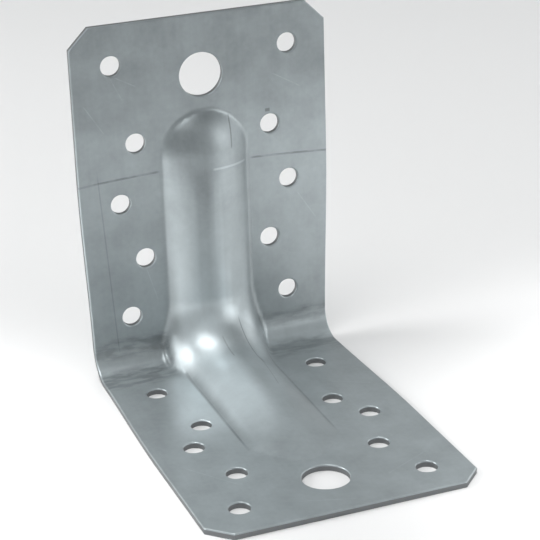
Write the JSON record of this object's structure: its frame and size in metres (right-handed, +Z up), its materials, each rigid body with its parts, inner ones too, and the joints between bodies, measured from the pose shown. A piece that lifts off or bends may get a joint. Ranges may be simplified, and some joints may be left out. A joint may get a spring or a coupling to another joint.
{
  "type": "angle bracket",
  "caption": "Right-angle bracket pressed from galvanised sheet steel, with a stiffening rib through the fold, nail holes and a bolt hole in each leg.",
  "frame": {"origin": "centre of the footprint, on the plane of the foot's outer face", "axes": "+Z up along the back leg, +Y from the foot's free edge towards the back leg, +X across the width"},
  "size_m": [0.065, 0.09, 0.09],
  "materials": {
    "steel": "hot-dip galvanised, satin, blue-grey with faint mottling"
  },
  "bodies": {
    "root": {"angle_bracket": "steel"}
  },
  "joints": []
}
